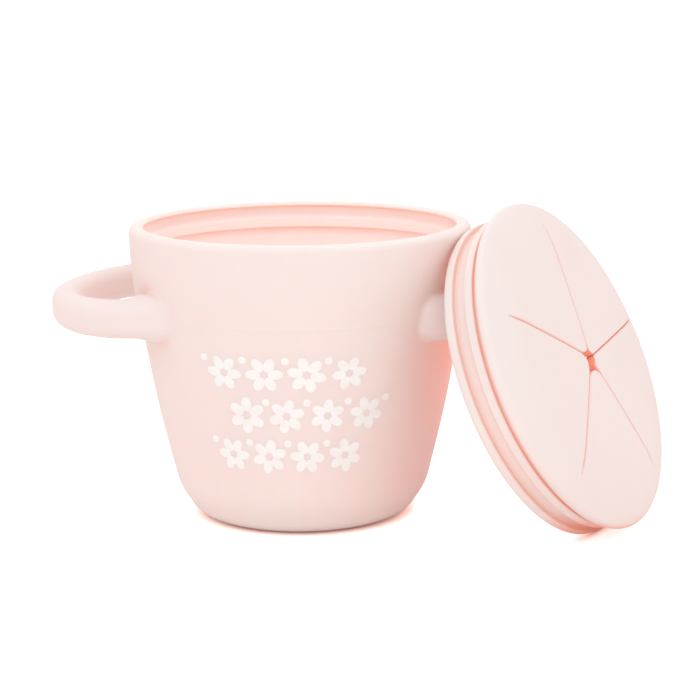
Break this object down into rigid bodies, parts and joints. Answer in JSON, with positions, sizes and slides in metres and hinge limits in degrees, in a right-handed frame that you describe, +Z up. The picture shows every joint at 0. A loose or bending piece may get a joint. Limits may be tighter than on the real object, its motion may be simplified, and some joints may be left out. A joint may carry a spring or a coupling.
{
  "type": "toddler snack cup",
  "caption": "Soft silicone snack cup with ring handles on both sides and a snap-in lid whose slit flaps let a small hand reach in; the lid leans beside it.",
  "frame": {"origin": "centre of the cup's flat base, on the surface it stands on", "axes": "+Z up along the cup's axis; the two ring handles lie along X; the printed side faces -Y; the lid leans towards +X and -Y"},
  "size_m": [0.1805, 0.1169, 0.0924],
  "materials": {
    "silicone": "soft matte blush pink silicone",
    "print": "flat white pad-printed ink"
  },
  "bodies": {
    "cup": {"cup": "silicone"},
    "lid": {"lid": "silicone"},
    "flap_1": {"flap_1": "silicone"},
    "flap_2": {"flap_2": "silicone"},
    "flap_3": {"flap_3": "silicone"},
    "flap_4": {"flap_4": "silicone"},
    "flap_5": {"flap_5": "silicone"}
  },
  "joints": [
    {"name": "lid_lift", "type": "slide", "parent": "cup", "child": "lid", "axis": [0, 0, 1], "range_m": [0, 0.1]},
    {"name": "flap_1_bend", "type": "hinge", "parent": "lid", "child": "flap_1", "pos_m": [0.08414, -0.00061, 0.06811], "axis": [-0.5703, -0.4777, 0.6682], "range_deg": [-26, 60], "stiffness_Nm_per_rad": 0.02},
    {"name": "flap_2_bend", "type": "hinge", "parent": "lid", "child": "flap_2", "pos_m": [0.06625, -0.03037, 0.07426], "axis": [-0.2507, -0.8877, -0.3861], "range_deg": [-26, 60], "stiffness_Nm_per_rad": 0.02},
    {"name": "flap_3_bend", "type": "hinge", "parent": "lid", "child": "flap_3", "pos_m": [0.06984, -0.05126, 0.04607], "axis": [0.4154, -0.0709, -0.9069], "range_deg": [-60, 60], "stiffness_Nm_per_rad": 0.02},
    {"name": "flap_4_bend", "type": "hinge", "parent": "lid", "child": "flap_4", "pos_m": [0.08995, -0.03442, 0.02251], "axis": [0.5074, 0.8439, -0.1743], "range_deg": [-60, 60], "stiffness_Nm_per_rad": 0.02},
    {"name": "flap_5_bend", "type": "hinge", "parent": "lid", "child": "flap_5", "pos_m": [0.09879, -0.00311, 0.03612], "axis": [-0.1018, 0.5925, 0.7991], "range_deg": [-60, 60], "stiffness_Nm_per_rad": 0.02}
  ]
}
